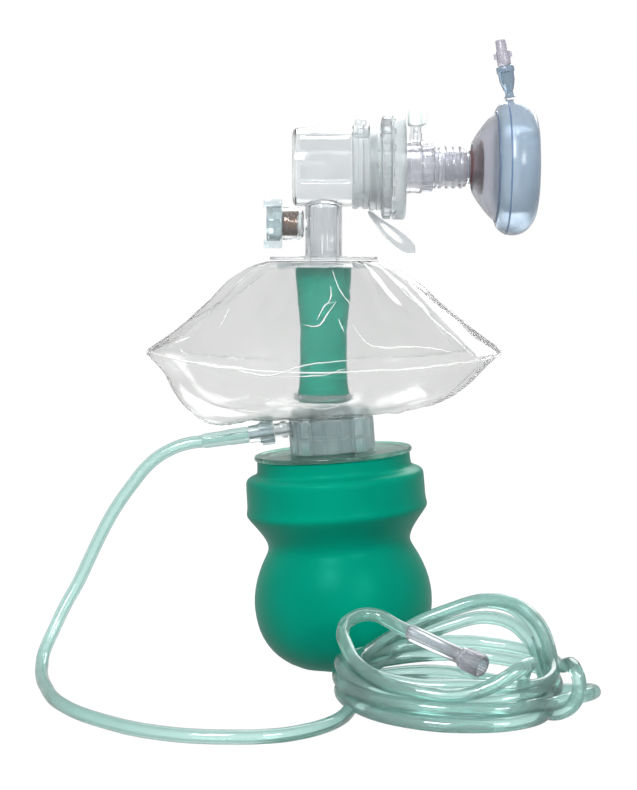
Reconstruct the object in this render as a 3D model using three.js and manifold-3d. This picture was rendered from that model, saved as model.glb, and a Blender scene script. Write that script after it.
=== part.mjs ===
// Infant bag valve mask with a front reservoir, standing on its squeeze bag.
// Millimetres, +Z up, +X towards the face mask. The origin is the middle of the flat base.
import * as THREE from "three";
import { mergeVertices } from "three/addons/utils/BufferGeometryUtils.js";
import Module from "manifold-3d";

const wasm = await Module();
wasm.setup();

// Driving dimensions
const GAP = 0.3; // clearance between pieces that touch
const ROUND = 20; // sides of a large turned piece
const SMALL = 10; // sides of a small turned piece
const MEDIUM = 16; // sides of a middling turned piece
const LEAN = THREE.MathUtils.degToRad(4); // the bag leans this much towards -X, which balances the mask
const BAG_WALL = 2;
const NECK_X = -13.4; // the upright axis that the duct, the neck and the head share
const HEAD_Z = 273.7; // height of the valve head's axis
const LID_BOTTOM = 116.1;
const LID_TOP = 118.4;
const COLLAR_RADIUS = 23.4;
const COLLAR_TOP = 136.5;
const FLANGE_BOTTOM = 223.3;
const FLANGE_TOP = 224.9;
const SEAM_Z = 173.6; // height of the reservoir's seam
const RELIEF_Z = 243;
const PRESSURE_X = 50.3;
const VALVE_X = 101.5; // the cushion's inflation valve
const CUSHION_RADIUS = 37;
const TUBE_DIAMETER = 7;
const INLET_ANGLE = THREE.MathUtils.degToRad(8.3); // the oxygen inlet points down by this much
const INLET_START = new THREE.Vector3(-32.7, 0, 130.2);

const FINISH = {
  bag: { color: 0x007d62, roughness: 0.45, metalness: 0 },
  clear: { color: 0xc8cbce, roughness: 0.15, metalness: 0 },
  film: { color: 0xcdcdcb, roughness: 0.2, metalness: 0 },
  tube: { color: 0xa0cdcd, roughness: 0.2, metalness: 0 },
  cushion: { color: 0x9caec4, roughness: 0.3, metalness: 0 },
  insert: { color: 0x8c6c6c, roughness: 0.5, metalness: 0 },
  white: { color: 0xe4e8ea, roughness: 0.4, metalness: 0 },
  silicone: { color: 0xd8dcd8, roughness: 0.5, metalness: 0 },
  copper: { color: 0xb07a52, roughness: 0.3, metalness: 1 },
};

// The turned axes: the leaning bag, the upright neck, the head along +X, the relief valve along -X
const object = new THREE.Group();
const bagAxis = new THREE.Group();
bagAxis.rotation.y = -LEAN;
const neckAxis = new THREE.Group();
neckAxis.position.x = NECK_X;
const headAxis = new THREE.Group();
headAxis.position.set(NECK_X, 0, HEAD_Z);
headAxis.rotation.y = Math.PI / 2;
const headUpright = new THREE.Group();
headUpright.position.set(NECK_X, 0, HEAD_Z);
const reliefAxis = new THREE.Group();
reliefAxis.position.set(NECK_X, 0, RELIEF_Z);
reliefAxis.rotation.y = -Math.PI / 2;
const inletAxis = new THREE.Group();
inletAxis.position.copy(INLET_START);
inletAxis.rotation.y = -Math.PI / 2 - INLET_ANGLE;
const inflationAxis = new THREE.Group();
inflationAxis.position.set(NECK_X + VALVE_X, 0, HEAD_Z + CUSHION_RADIUS + 0.5);
inflationAxis.rotation.y = -THREE.MathUtils.degToRad(10);
object.add(bagAxis, neckAxis, headAxis, headUpright, reliefAxis, inletAxis, inflationAxis);

function place(name, geometry, finish, parent) {
  const mesh = new THREE.Mesh(geometry, new THREE.MeshStandardMaterial(FINISH[finish]));
  mesh.name = name;
  parent.add(mesh);
}

// A turned piece about Z. The outline is [radius, height] points, counter-clockwise.
function turned(outline, sides = ROUND) {
  const points = outline.map(([radius, height]) => new THREE.Vector2(radius, height));
  return new THREE.LatheGeometry(points, sides).rotateX(Math.PI / 2);
}

// A plain ring about Z
function ring(inner, outer, bottom, top, sides = ROUND) {
  return turned([[inner, bottom], [outer, bottom], [outer, top], [inner, top], [inner, bottom]], sides);
}

function rod(radius, bottom, top, sides = SMALL) {
  return turned([[0, bottom], [radius, bottom], [radius, top], [0, top]], sides);
}

function box(width, depth, height, x, y, z) {
  return new THREE.BoxGeometry(width, depth, height).translate(x, y, z);
}

// Booleans
function solid(geometry) {
  const bare = geometry.clone();
  bare.deleteAttribute("normal");
  bare.deleteAttribute("uv");
  const merged = mergeVertices(bare, 1e-4);
  return new wasm.Manifold(new wasm.Mesh({
    numProp: 3,
    vertProperties: new Float32Array(merged.attributes.position.array),
    triVerts: new Uint32Array(merged.index.array),
  }));
}

function shape(manifold) {
  const mesh = manifold.getMesh();
  const geometry = new THREE.BufferGeometry();
  geometry.setAttribute("position", new THREE.BufferAttribute(new Float32Array(mesh.vertProperties), 3));
  geometry.setIndex(new THREE.BufferAttribute(new Uint32Array(mesh.triVerts), 1));
  return geometry;
}

function cut(geometry, ...tools) {
  return shape(tools.reduce((left, tool) => left.subtract(solid(tool)), solid(geometry)));
}

function join(geometry, ...others) {
  return shape(others.reduce((whole, other) => whole.add(solid(other)), solid(geometry)));
}

function around(count, make) {
  return Array.from({ length: count }, (_, i) => make().rotateZ((i * 2 * Math.PI) / count));
}

// A cylinder wall whose outside is fluted along its length
function fluted(inner, outer, depth, flutes, bottom, top) {
  const outline = new THREE.Shape();
  const steps = flutes * 2;
  for (let i = 0; i < steps; i++) {
    const angle = (i * 2 * Math.PI) / steps;
    const radius = i % 2 ? outer - depth : outer;
    outline[i ? "lineTo" : "moveTo"](radius * Math.cos(angle), radius * Math.sin(angle));
  }
  outline.closePath();
  outline.holes.push(new THREE.Path().absarc(0, 0, inner, 0, 2 * Math.PI, true));
  const wall = new THREE.ExtrudeGeometry(outline, { depth: top - bottom, bevelEnabled: false, curveSegments: 9 });
  return wall.translate(0, 0, bottom);
}

// Squeeze bag: a thin moulded shell, pressed flat where it stands
const BAG_OUTSIDE = [
  [0, -4.5], [22, -2.6], [30, 1.2], [36.5, 5.4], [42, 10.5], [46.4, 18], [49, 28], [49.2, 39],
  [46.4, 52.5], [40.9, 62.5], [39.2, 67.5], [40.6, 72], [48.6, 83.4], [50, 86.5],
  [49.2, 104], [47.4, 106.6], [42.8, 107.9], [42.2, 115.8],
];
const BAG_INSIDE = [
  [39.7, 115.8], [39.7, 107.2], [46.6, 104.6], [47.9, 87], [37.8, 71.5], [37, 67.5],
  [39, 61], [45.6, 47], [47, 32], [43.4, 16], [33.6, 6], [20, -0.2], [0, -1],
];

// Keeps a leaning shell above a level plane, so that it stands on a flat patch
function pressFlat(geometry, lowest) {
  const at = geometry.attributes.position;
  const inside = geometry.userData.inside;
  for (let i = 0; i < at.count; i++) {
    const floor = lowest + (inside(i) ? BAG_WALL : 0);
    const height = at.getX(i) * Math.sin(LEAN) + at.getZ(i) * Math.cos(LEAN);
    if (height < floor) at.setZ(i, (floor - at.getX(i) * Math.sin(LEAN)) / Math.cos(LEAN));
  }
  return geometry;
}

function squeezeBag() {
  const outline = [...BAG_OUTSIDE, ...BAG_INSIDE];
  const bag = turned(outline);
  bag.userData.inside = (i) => i % outline.length >= BAG_OUTSIDE.length;
  return pressFlat(bag, 0);
}

function makeBag() {
  place("squeeze_bag", squeezeBag(), "bag", bagAxis);
  const lid = turned([
    [19, LID_BOTTOM], [36.6, LID_BOTTOM], [36.6, 112.6], [39.2, 112.6], [39.2, LID_BOTTOM], [43.4, LID_BOTTOM],
    [43.4, LID_TOP], [19, LID_TOP], [19, LID_BOTTOM],
  ]);
  place("bag_lid", lid, "clear", bagAxis);
  place("lid_seal", ring(36.6, 39.2, 111.2, 112.6 - GAP), "silicone", bagAxis);
}

// Inlet manifold on the lid: the reservoir's gas enters the bag through a flap valve around the central tube
function makeManifold() {
  const collar = fluted(21.2, COLLAR_RADIUS, 0.7, 18, LID_TOP + GAP, COLLAR_TOP);
  place("inlet_manifold", collar, "clear", bagAxis);
  place("manifold_tube", ring(11, 12.5, 114, 140.5, SMALL), "clear", bagAxis);
  const ports = around(6, () => rod(2.4, 125, 129, 8).translate(17, 0, 0));
  const seat = cut(ring(13, 20.3, 126.4, 127.8), ...ports);
  place("intake_valve_seat", seat, "clear", bagAxis);
  place("intake_valve_disc", ring(13.2, 20, 125.2, 126.4 - GAP), "silicone", bagAxis);
  place("reservoir_lower_clamp", ring(16.5, 21.5, 138.6, 140.8), "clear", bagAxis);
}

// Oxygen inlet, its nut and the sleeve that holds the tube, all on one axis that slopes down to -X
const SLEEVE_END = 47.8;

function makeInlet() {
  const nipple = turned([
    [1.8, -8.5], [3.6, -8.5], [3.6, 0.6], [4.7, 0.6], [4.7, 4], [3.9, 4.6], [3.9, 7.8], [1.8, 7.8], [1.8, -8.5],
  ], SMALL);
  place("oxygen_inlet", cut(nipple, leaningCollar()), "clear", inletAxis);
  const body = turned([
    [1.8, 8.1], [6, 8.1], [6, 15.6], [4.9, 17.2], [4.6, 22.2], [1.8, 22.2], [1.8, 8.1],
  ], SMALL);
  const lugs = around(4, () => box(2.2, 2.6, 7, 5.9, 0, 11.8));
  place("tube_nut", join(body, ...lugs), "clear", inletAxis);
  const sleeve = turned([
    [1.8, 22.5], [4.4, 22.5], [4.4, 34.2], [4.15, 34.6], [4.15, SLEEVE_END], [1.8, SLEEVE_END], [1.8, 22.5],
  ], SMALL);
  place("tube_sleeve", sleeve, "tube", inletAxis);
}

// The room that the manifold needs, seen from the inlet's own axis
function leaningCollar() {
  const room = rod(COLLAR_RADIUS + GAP, 100, 145, 36);
  bagAxis.updateMatrixWorld(true);
  inletAxis.updateMatrixWorld(true);
  return room.applyMatrix4(bagAxis.matrixWorld).applyMatrix4(inletAxis.matrixWorld.clone().invert());
}

// Duct, reservoir and flange on the upright axis
function makeDuct() {
  const duct = turned([
    [13.1, 143.8], [14.3, 143.8], [14.3, 150], [13.2, 152.4], [12.9, 170], [13, 188], [16.2, 221.6],
    [15, 221.6], [11.8, 188.4], [11.7, 170], [12, 152], [13.1, 149.8], [13.1, 143.8],
  ], MEDIUM);
  place("gas_duct", duct, "bag", neckAxis);
  place("duct_lower_clamp", ring(14.6, 16.4, 145.5, 149, MEDIUM), "clear", neckAxis);
  place("duct_upper_clamp", ring(17, 26, 219.4, 221.8, MEDIUM), "clear", neckAxis);
  place("reservoir_flange", ring(9.1, 29.5, FLANGE_BOTTOM, FLANGE_TOP), "clear", neckAxis);
  place("swivel_bush", ring(7, 8.5, 214, 233, SMALL), "clear", neckAxis);
}

// Reservoir: a four-cornered film pillow around the duct. Each level is [height, neckness, half width,
// half depth], where neckness 1 is a circle and 0 the seam's full corners.
const FILM = 0.6;
const FILM_SIDES = 24;
const FILM_LEVELS = [
  [137.5, 1, 17, 17], [137.3, 1, 24.5, 24.5], [139.4, 0.95, 36, 35], [146, 0.6, 64, 56],
  [155, 0.35, 79, 66], [166, 0.12, 88, 72], [SEAM_Z, 0, 96, 75],
  [182, 0.18, 84, 69], [195, 0.45, 70.5, 60], [209, 0.75, 55, 49],
  [219, 0.95, 40.5, 39], [222.4, 1, 31, 31], [222.6, 1, 27, 27], [222.6, 1, 17.5, 17.5],
];

function filmRing([height, neckness, width, depth], thin) {
  const points = [];
  const low = THREE.MathUtils.clamp((141 - height) / 3, 0, 1);
  const middle = THREE.MathUtils.lerp(NECK_X, -9.7, low);
  const power = THREE.MathUtils.lerp(0.5, 1, neckness);
  for (let i = 0; i < FILM_SIDES; i++) {
    const angle = (i * 2 * Math.PI) / FILM_SIDES;
    const c = Math.cos(angle);
    const s = Math.sin(angle);
    const x = Math.sign(c) * Math.abs(c) ** power * (width - thin);
    const y = Math.sign(s) * Math.abs(s) ** power * (depth - thin);
    points.push([middle + x, y, height + x * Math.tan(LEAN) * low]);
  }
  return points;
}

function reservoirFilm() {
  const last = FILM_LEVELS.length - 1;
  const outside = FILM_LEVELS.map((level) => filmRing(level, 0));
  const inside = FILM_LEVELS.map(([height, ...rest], i) => {
    const lift = Math.cos((i / last) * Math.PI) * FILM;
    return filmRing([height + lift, ...rest], i < 2 || i > last - 2 ? 0 : FILM);
  }).reverse();
  const rings = [...outside, ...inside];
  const index = [];
  rings.forEach((_, r) => {
    const next = (r + 1) % rings.length;
    for (let i = 0; i < FILM_SIDES; i++) {
      const j = (i + 1) % FILM_SIDES;
      const [a, b, c, d] = [r * FILM_SIDES + i, r * FILM_SIDES + j, next * FILM_SIDES + j, next * FILM_SIDES + i];
      index.push(a, b, c, a, c, d);
    }
  });
  const film = new THREE.BufferGeometry();
  film.setAttribute("position", new THREE.Float32BufferAttribute(rings.flat(2), 3));
  film.setIndex(index);
  return film;
}

// Neck and the housing on top of it
const HOUSING_RADIUS = 21.4;
const NECK_RADIUS = 10.2;

function makeHousing() {
  const wall = fluted(8.9, NECK_RADIUS, 0.4, 12, FLANGE_TOP + GAP, 258).translate(0, 0, -HEAD_Z);
  const saddle = rod(HOUSING_RADIUS + GAP, -40, 40, 48).rotateY(Math.PI / 2);
  const reliefHole = rod(3.4, -20, 0).rotateY(Math.PI / 2).translate(0, 0, RELIEF_Z - HEAD_Z);
  place("neck_tube", cut(wall, saddle, reliefHole), "clear", headUpright);
  const shell = turned([
    [0, -17], [19.2, -17], [21, -15.2], [21.2, -10], [HOUSING_RADIUS, 15.3], [19.8, 15.3], [19.6, -15.2], [0, -15.2],
  ]);
  const neckHole = rod(8.6, 10, 30).rotateY(Math.PI / 2);
  place("valve_housing", cut(shell, neckHole), "clear", headAxis);
  place("inner_tube", ring(11.9, 13.1, -12.5, 14.8, MEDIUM).translate(-4.1, 0, 0), "clear", headAxis);
}

function makeRings() {
  const strapRing = turned([
    [17.5, 15.6], [22.2, 15.6], [22.8, 16.2], [22.8, 18.4], [21.9, 19], [21.9, 21], [22.8, 21.6], [22.8, 23.9],
    [22.2, 24.5], [17.5, 24.5], [17.5, 15.6],
  ]);
  const bump = box(5.5, 7, 5.6, -23, 0, 20.4);
  place("strap_ring", join(strapRing, bump), "clear", headAxis);
  place("retaining_ring", ring(17.5, 23.4, 24.9, 31.1), "clear", headAxis);
  const exhalation = turned([
    [17.5, 31.4], [26.4, 31.4], [28, 32.6], [28, 35.8], [26.4, 37], [17.5, 37], [17.5, 31.4],
  ]);
  place("exhalation_ring", exhalation, "clear", headAxis);
  const cover = turned([
    [9.4, 42.8], [26.4, 42.8], [26.4, 37.4], [28.6, 37.4], [28.6, 43.5], [27.8, 44.3], [9.4, 44.3], [9.4, 42.8],
  ], 24);
  const slots = around(12, () => box(6, 3.4, 2.6, 28.6, 0, 38.2));
  place("exhalation_cover", cut(cover, ...slots), "clear", headAxis);
  const spokes = around(4, () => box(10, 2, 2, 12.2, 0, 27.6));
  place("valve_seat", join(ring(6, 8, 26, 29, SMALL), ring(15.4, 17.1, 26, 29), ...spokes), "clear", headAxis);
  const flap = turned([
    [0, 36], [1.2, 35.4], [7.2, 30.6], [14.8, 29.6], [14.8, 30.6], [8, 31.8], [1.6, 36.6], [0, 36.8],
  ], MEDIUM);
  place("duckbill_valve", flap, "silicone", headAxis);
}

function makeOutlet() {
  const hub = turned([
    [8.4, 44.6], [14.3, 44.6], [14.3, 53.2], [13.8, 53.6], [12.4, 53.6], [12.4, 59.7], [8.4, 59.7], [8.4, 44.6],
  ], MEDIUM);
  place("outlet_hub", hub, "clear", headAxis);
  const spigot = turned([
    [1.1, 12], [3.3, 12], [3.3, 18.6], [2.9, 19], [2.9, 22], [2.1, 22], [2.1, 25.4], [1.1, 25.4], [1.1, 12],
  ], 16);
  const hubRoom = rod(14.3 + GAP, -20, 20, 36).rotateY(Math.PI / 2);
  place("pressure_spigot", cut(spigot, hubRoom).translate(PRESSURE_X, 0, 0), "clear", headUpright);
  const cap = turned([
    [2.5, 22.3], [4.2, 22.3], [4.4, 23], [4.4, 29.6], [3.2, 31.4], [0, 31.7], [0, 27.5], [2.5, 27.5], [2.5, 22.3],
  ], 16);
  const block = box(4.4, 4.4, 6.2, 4.6, 0, 26.6);
  place("pressure_cap", join(cap, cut(block, rod(2.5, 20, 27.5, 16))).translate(PRESSURE_X, 0, 0), "white", headUpright);
  place("patient_port", turned(portOutline(), MEDIUM), "clear", headAxis);
}

// The ribbed port that the mask pushes into
function portOutline() {
  const ribs = [0, 1, 2, 3].flatMap((i) => {
    const at = 61.8 + i * 3.9;
    return [[10.6, at], [11.7, at + 0.7], [11.7, at + 1.9], [10.6, at + 2.6]];
  });
  return [[7.8, 60], [11.7, 60], [11.7, 61], ...ribs, [10.6, 76.2], [10.9, 76.9], [10.2, 77.5], [7.8, 77.5], [7.8, 60]];
}

// Relief valve on the neck's left side
function makeRelief() {
  const housing = turned([
    [3.4, 10.7], [6.6, 10.7], [8.9, 11.6], [8.9, 22.5], [7.6, 22.5], [7.6, 12], [3.4, 11.9], [3.4, 10.7],
  ], MEDIUM);
  place("relief_housing", housing, "clear", reliefAxis);
  const plunger = turned([
    [0, 12.2], [5, 12.2], [6.8, 12.8], [6.8, 13.6], [4.6, 13.8], [3.2, 15.6], [2, 21], [0, 21],
  ], SMALL);
  place("relief_plunger", plunger, "white", reliefAxis);
  place("relief_spring", spring(), "copper", reliefAxis);
  const knob = turned([
    [0, 27.4], [7.2, 27.4], [7.2, 22.8], [9.6, 22.8], [9.6, 31.1], [0, 31.1],
  ], MEDIUM);
  const lugs = around(2, () => box(4.6, 9, 9.9, 11.2, 0, 27.75));
  const wings = around(2, () => box(4.6, 5.4, 7.4, 10.8, 0, 26.6)).map((wing) => wing.rotateZ(Math.PI / 2));
  place("relief_cap", join(knob, ...lugs, ...wings), "clear", reliefAxis);
}

function spring() {
  const turns = 5;
  const steps = 8; // to a turn
  const points = Array.from({ length: turns * steps + 1 }, (_, i) => {
    const angle = (i * 2 * Math.PI) / steps;
    return new THREE.Vector3(6.3 * Math.cos(angle), 6.3 * Math.sin(angle), 14.5 + (i * 1.45) / steps);
  });
  return sweep(points, 0.55, 5, turns * steps);
}

function sweep(points, radius, sides, steps) {
  const section = new THREE.Shape();
  for (let i = 0; i < sides; i++) {
    const angle = (i * 2 * Math.PI) / sides;
    section[i ? "lineTo" : "moveTo"](radius * Math.cos(angle), radius * Math.sin(angle));
  }
  section.closePath();
  const path = new THREE.CatmullRomCurve3(points, false, "centripetal");
  return new THREE.ExtrudeGeometry(section, { steps, extrudePath: path, bevelEnabled: false });
}

// Finger strap: a flat teardrop loop that hangs from the strap ring
function makeStrap() {
  const outline = new THREE.Shape();
  outline.moveTo(0, -2.4);
  outline.bezierCurveTo(8, -3, 11, -5.8, 20, -6);
  outline.bezierCurveTo(37.5, -6, 37.5, 6, 20, 6);
  outline.bezierCurveTo(11, 5.8, 8, 3, 0, 2.4);
  outline.closePath();
  const hole = new THREE.Path();
  hole.absarc(25.6, 0, 3.7, Math.PI / 2, -Math.PI / 2, true);
  hole.absarc(15.4, 0, 3.7, -Math.PI / 2, -1.5 * Math.PI, true);
  hole.closePath();
  outline.holes.push(hole);
  const strap = new THREE.ExtrudeGeometry(outline, { depth: 0.9, bevelEnabled: false, curveSegments: 8 });
  strap.rotateY(THREE.MathUtils.degToRad(41.5)).translate(24.2, 0, -23.9);
  place("finger_strap", strap, "clear", headUpright);
}

// Face mask
function makeMask() {
  const neck = turned([
    [6, 66], [7.4, 66], [7.4, 77.8], [9.1, 77.8], [9.1, 79.6], [6, 79.6], [6, 66],
  ], MEDIUM);
  place("mask_neck", neck, "clear", headAxis);
  const insert = turned([
    [6.4, 79.9], [9, 79.9], [15.2, 85.6], [13.6, 86.8], [6.4, 81.6], [6.4, 79.9],
  ], MEDIUM);
  place("mask_insert", insert, "insert", headAxis);
  const dome = turned([
    [12.6, 80.8], [14.2, 81.3], [16.9, 82.8], [20.4, 85.2], [23.7, 87.9], [26.4, 90.2], [29.4, 93.4],
    [28.2, 94.1], [25.4, 91], [22.6, 88.8], [19.4, 86.2], [16, 83.9], [12.6, 82.6], [12.6, 80.8],
  ]);
  place("mask_dome", dome, "clear", headAxis);
  place("mask_cushion", maskCushion(), "cushion", headAxis);
}

// The cushion is a hollow ring with a small port under its inflation valve
function maskCushion() {
  const outside = [
    [29.6, 94], [34, 95.8], [36.5, 99.2], [CUSHION_RADIUS, 104], [35.6, 109.6], [30.8, 114],
    [24, 116], [18.2, 113.6], [18, 106.6], [24, 98.2],
  ];
  const middle = [27.6, 105];
  const inside = outside.map(([r, h]) => {
    const reach = Math.hypot(r - middle[0], h - middle[1]);
    const share = (reach - 1.4) / reach;
    return [middle[0] + (r - middle[0]) * share, middle[1] + (h - middle[1]) * share];
  });
  const hollow = turned([...inside, inside[0]]);
  const port = rod(1.4, 30, 45, 12).rotateY(-Math.PI / 2).translate(0, 0, VALVE_X);
  return cut(turned([...outside, outside[0]]), hollow, port);
}

function makeInflationValve() {
  const body = turned([
    [1, 0.4], [2.3, 0.4], [2.3, 4.6], [4.2, 6], [5, 8.4], [5, 12.6], [4, 14.6], [3.4, 17.4], [2.3, 17.4], [2.3, 8],
    [1, 8], [1, 0.4],
  ], 20);
  const room = rod(CUSHION_RADIUS + GAP, -60, 60, 48).rotateY(Math.PI / 2);
  room.translate(0, 0, -CUSHION_RADIUS - 0.5).rotateY(THREE.MathUtils.degToRad(10));
  place("inflation_valve", cut(body, room), "cushion", inflationAxis);
  const plug = turned([
    [0, 9.4], [1.9, 9.4], [1.9, 17.7], [3.4, 17.7], [3.7, 18.4], [3.7, 25.4], [2.9, 26.2], [2.9, 31.6], [0, 31.6],
  ], 16);
  const lugs = around(2, () => box(2.4, 2.4, 3.6, 3.6, 0, 23.2));
  place("inflation_plug", join(plug, ...lugs), "white", inflationAxis);
}

// Oxygen tube: from the sleeve down to the table, round the front and into the coil
const TUBE_ROUTE = [
  [-96, 0, 117.5], [-108, 0, 110.8], [-120.4, -1, 97.6], [-129.4, -2, 84.6], [-136.2, -4, 72],
  [-142.4, -6, 59], [-148.4, -9, 46.2], [-155.2, -13, 33.9], [-160.8, -18, 21.7], [-165, -26, 11.2],
  [-164.6, -38, 6.2], [-163, -50, 3.8], [-157, -76, 3.6], [-144, -113, 3.6], [-118, -148, 3.6],
  [-88, -168, 3.6], [-58, -175, 3.6], [-36, -171, 3.6], [-25, -165, 3.6], [-15, -156, 3.7], [-8.5, -145, 3.8],
  [-3.3, -132.5, 4.6], [1.4, -121.5, 7.8],
];
const COIL = { x: 52, y: -102, halfWidth: 48, halfDepth: 34, bundle: 10, front: 10.4, rise: 0.44, steps: 20 };
const FAR_SLEEVE_START = new THREE.Vector3(30, -95, 36);
const FAR_END = new THREE.Vector3(64, -125, 25);

function coilPoint(angle) {
  const y = COIL.halfDepth * Math.sin(angle);
  return new THREE.Vector3(
    COIL.x + COIL.halfWidth * Math.cos(angle),
    COIL.y + y,
    COIL.front + (y + COIL.halfDepth) * COIL.rise,
  );
}

// One closed oval ring of the coil's outer shape, higher at the back
function coilRing() {
  const sides = 8;
  const positions = [];
  const index = [];
  for (let i = 0; i < COIL.steps; i++) {
    const angle = (i * 2 * Math.PI) / COIL.steps;
    const middle = coilPoint(angle);
    const along = coilPoint(angle + 0.01).sub(coilPoint(angle - 0.01)).normalize();
    const out = new THREE.Vector3().crossVectors(along, new THREE.Vector3(0, 0, 1)).normalize();
    const up = new THREE.Vector3().crossVectors(out, along);
    for (let k = 0; k < sides; k++) {
      const turn = (k * 2 * Math.PI) / sides;
      const at = middle.clone().addScaledVector(out, COIL.bundle * Math.cos(turn));
      positions.push(at.addScaledVector(up, COIL.bundle * Math.sin(turn)));
      const [a, b] = [i * sides + k, i * sides + ((k + 1) % sides)];
      const [c, d] = [a, b].map((n) => (n + sides) % (COIL.steps * sides));
      index.push(a, c, b, b, c, d);
    }
  }
  const geometry = new THREE.BufferGeometry().setFromPoints(positions);
  geometry.setIndex(index);
  return geometry;
}

function makeTube() {
  const along = new THREE.Vector3(-Math.cos(INLET_ANGLE), 0, -Math.sin(INLET_ANGLE));
  const start = [SLEEVE_END + GAP, SLEEVE_END + 8].map((s) => INLET_START.clone().addScaledVector(along, s));
  const route = [...start, ...TUBE_ROUTE.map((point) => new THREE.Vector3(...point))];
  place("oxygen_tube", sweep(route, TUBE_DIAMETER / 2, 8, 34), "tube", object);
  place("tube_coil", coilRing(), "tube", object);
}

function makeFarConnector() {
  const axis = new THREE.Group();
  axis.position.copy(FAR_SLEEVE_START);
  const along = FAR_END.clone().sub(FAR_SLEEVE_START).normalize();
  axis.quaternion.setFromUnitVectors(new THREE.Vector3(0, 0, 1), along);
  object.add(axis);
  const length = FAR_END.distanceTo(FAR_SLEEVE_START);
  place("far_sleeve", ring(1.8, 4.1, 0, length - 13, 16), "tube", axis);
  const ribs = [0, 1, 2, 3].flatMap((i) => {
    const at = length - 11.5 + i * 2.9;
    return [[5.1, at], [5.7, at + 0.7], [5.7, at + 1.5], [5.1, at + 2.1]];
  });
  const socket = turned([
    [2, length - 12.7], [5.1, length - 12.7], ...ribs, [5.1, length], [3.9, length], [3.9, length - 10],
    [2, length - 10], [2, length - 12.7],
  ], 18);
  place("far_connector", socket, "clear", axis);
}

makeBag();
makeManifold();
makeInlet();
makeDuct();
place("reservoir_film", reservoirFilm(), "film", object);
makeHousing();
makeRings();
makeOutlet();
makeRelief();
makeStrap();
makeMask();
makeInflationValve();
makeTube();
makeFarConnector();

export default object;
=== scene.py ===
"""Infant bag valve mask standing on its squeeze bag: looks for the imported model.

Metres, +Z up, +X towards the mask. Profiles and places are written in millimetres and scaled by MM.
"""

import math

import bpy
from mathutils import Matrix, Vector, noise


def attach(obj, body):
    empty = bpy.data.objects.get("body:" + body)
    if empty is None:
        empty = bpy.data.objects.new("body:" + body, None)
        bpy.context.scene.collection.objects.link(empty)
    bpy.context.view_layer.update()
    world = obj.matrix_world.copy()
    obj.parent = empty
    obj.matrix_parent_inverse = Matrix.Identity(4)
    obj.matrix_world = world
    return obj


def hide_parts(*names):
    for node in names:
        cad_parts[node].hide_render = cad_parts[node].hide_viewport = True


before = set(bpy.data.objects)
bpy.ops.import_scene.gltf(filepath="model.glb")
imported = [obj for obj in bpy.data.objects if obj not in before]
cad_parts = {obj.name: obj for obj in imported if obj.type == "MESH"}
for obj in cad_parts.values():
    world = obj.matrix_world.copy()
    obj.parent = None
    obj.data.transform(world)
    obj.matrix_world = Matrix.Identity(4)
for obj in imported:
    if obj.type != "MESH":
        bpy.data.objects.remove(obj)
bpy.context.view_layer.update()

MM = 0.001
LEAN = math.radians(4)  # of the bag and of all that is fixed on it
NECK_X = -13.4  # the upright axis of the duct, the neck and the head
LOWER_NECK_X = -9.7  # where the leaning axis passes through the film's lower neck
HEAD_Z = 273.7  # the level axis of the valve head and the mask
RELIEF_Z = 243.0
SEAM_Z = 173.6  # the film's widest level, where its halves are welded
HOUSING_RADIUS = 21.4
NECK_RADIUS = 10.2
INLET_FOOT = Vector((-32.7, 0, 130.2))
INLET_ANGLE = math.radians(8.3)  # below level
INLET_WAY = Vector((-math.cos(INLET_ANGLE), 0, -math.sin(INLET_ANGLE)))
SLEEVE_END = 47.8  # from the inlet's foot
TUBE_GAP = 0.3  # between a sleeve and the tube's end
PRESSURE_X = 50.3
CUSHION_RADIUS = 37.0
VALVE_X = 101.5
VALVE_LEAN = math.radians(10)
TUBE_D = 7.0
BORE_D = 4.2
FAR_START = Vector((30, -95, 36))
FAR_WAY = Vector((64, -125, 25)) - FAR_START
FAR_LENGTH = FAR_WAY.length

# Where each turned axis lies: its +Z is the piece's own axis
SIDEWAYS = Matrix.Rotation(math.pi / 2, 4, "Y")
BAG = Matrix.Rotation(-LEAN, 4, "Y")
NECK = Matrix.Translation((NECK_X, 0, 0))
UPRIGHT = Matrix.Translation((NECK_X, 0, HEAD_Z))
HEAD = UPRIGHT @ SIDEWAYS
RELIEF = Matrix.Translation((NECK_X, 0, RELIEF_Z)) @ Matrix.Rotation(-math.pi / 2, 4, "Y")
INLET = Matrix.Translation(INLET_FOOT) @ Matrix.Rotation(-math.pi / 2 - INLET_ANGLE, 4, "Y")
VALVE_FOOT = Vector((NECK_X + VALVE_X, 0, HEAD_Z + CUSHION_RADIUS + 0.5))
INFLATION = Matrix.Translation(VALVE_FOOT) @ Matrix.Rotation(-VALVE_LEAN, 4, "Y")
FAR = Matrix.Translation(FAR_START) @ FAR_WAY.to_track_quat("Z", "Y").to_matrix().to_4x4()


# ---- camera
CAMERA_AT = Vector((-16.2, -1017, 224.8))
CAMERA_DIP = 4.27  # degrees below level


def set_camera():
    lens = bpy.data.cameras.new("camera")
    lens.lens = 84.3
    lens.sensor_width = 36
    lens.clip_end = 20
    camera = bpy.data.objects.new("camera", lens)
    camera.location = CAMERA_AT * MM
    camera.rotation_euler = (math.radians(90 - CAMERA_DIP), 0, 0)
    bpy.context.collection.objects.link(camera)
    bpy.context.scene.camera = camera


set_camera()


# ---- materials
def linear(code):
    """An sRGB hex colour as linear RGBA."""
    values = [int(code[i : i + 2], 16) / 255 for i in (1, 3, 5)]
    return [v / 12.92 if v <= 0.04045 else ((v + 0.055) / 1.055) ** 2.4 for v in values] + [1]


def fill(node, inputs):
    """Sets a node's inputs: each is a value or another node's output."""
    for key, value in inputs.items():
        if isinstance(value, bpy.types.NodeSocket):
            node.id_data.links.new(value, node.inputs[key])
        else:
            node.inputs[key].default_value = value


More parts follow.
